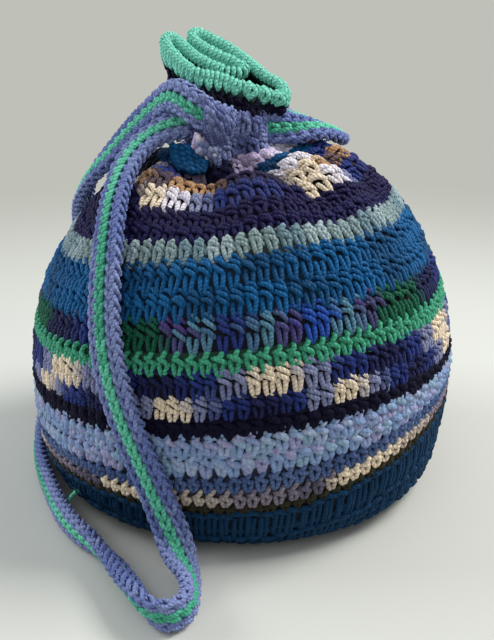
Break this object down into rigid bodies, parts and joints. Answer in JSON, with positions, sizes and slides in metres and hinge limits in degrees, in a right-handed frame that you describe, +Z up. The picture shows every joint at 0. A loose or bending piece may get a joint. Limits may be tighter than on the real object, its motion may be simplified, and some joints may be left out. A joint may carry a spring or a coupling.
{
  "type": "crocheted drawstring bag",
  "caption": "Round crocheted mochila bag in colour bands, gathered neck with a folded mouth, and one flat crocheted strap that threads the neck as drawstring and shoulder strap",
  "frame": {"origin": "centre of the flat base on the floor", "axes": "+Z up through the neck; the bag is seen from the front along +Y, with +X to the right"},
  "size_m": [0.2575, 0.3081, 0.265],
  "materials": {
    "body_yarn": "matte",
    "strap_yarn": "matte",
    "chain_yarn": "matte"
  },
  "bodies": {
    "root": {"bag_body": "body_yarn", "strap_band": "strap_yarn", "strap_chain": "chain_yarn", "chain_tail": "chain_yarn"}
  },
  "joints": []
}
